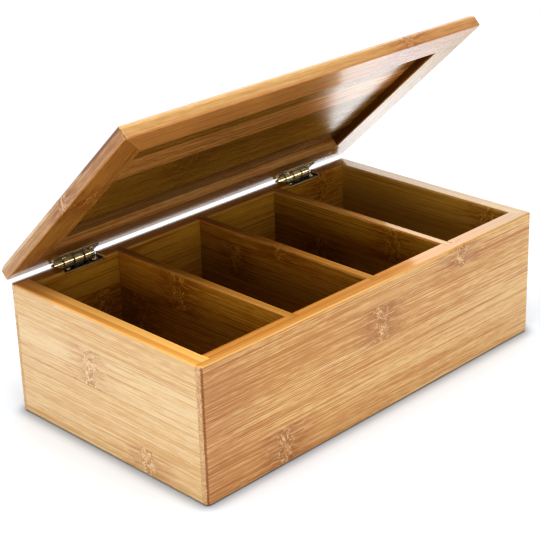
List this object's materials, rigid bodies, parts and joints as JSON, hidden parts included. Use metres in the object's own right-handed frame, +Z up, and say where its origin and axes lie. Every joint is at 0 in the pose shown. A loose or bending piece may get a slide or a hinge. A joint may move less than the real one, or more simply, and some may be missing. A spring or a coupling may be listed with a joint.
{
  "type": "tea bag organizer box",
  "caption": "Rectangular bamboo tea bag organizer box with upright dividers, rabbeted corners and a framed panel lid on small knuckled butt hinges.",
  "frame": {"origin": "centre of the flat underside", "axes": "+X along the row of compartments to the right, the front faces -Y, the hinges are at the back on +Y, +Z up"},
  "size_m": [0.335, 0.1935, 0.2327],
  "materials": {
    "bamboo": "clear gloss lacquer over laminated bamboo",
    "bamboo_panel": "clear gloss lacquer over thin laminated bamboo board",
    "antique_brass": "antique brass plate with dark patina",
    "pin_steel": "plated wire",
    "screw_brass": "bright brass plate"
  },
  "bodies": {
    "box": {"front_wall": "bamboo", "back_wall": "bamboo", "left_end_wall": "bamboo", "right_end_wall": "bamboo", "base_panel": "bamboo_panel", "left_divider": "bamboo_panel", "middle_divider": "bamboo_panel", "right_divider": "bamboo_panel", "left_hinge_box_leaf": "antique_brass", "left_hinge_pin": "pin_steel", "left_box_leaf_screws": "screw_brass", "right_hinge_box_leaf": "antique_brass", "right_hinge_pin": "pin_steel", "right_box_leaf_screws": "screw_brass"},
    "lid": {"lid_panel": "bamboo_panel", "lid_front_rail": "bamboo", "lid_right_rail": "bamboo", "lid_back_rail": "bamboo", "lid_left_rail": "bamboo", "left_hinge_lid_leaf": "antique_brass", "left_lid_leaf_screws": "screw_brass", "right_hinge_lid_leaf": "antique_brass", "right_lid_leaf_screws": "screw_brass"}
  },
  "joints": [
    {"name": "lid_hinge", "type": "hinge", "parent": "box", "child": "lid", "pos_m": [0, 0.09565, 0.09505], "axis": [-1, 0, 0], "range_deg": [-43.4, 136.6]}
  ]
}
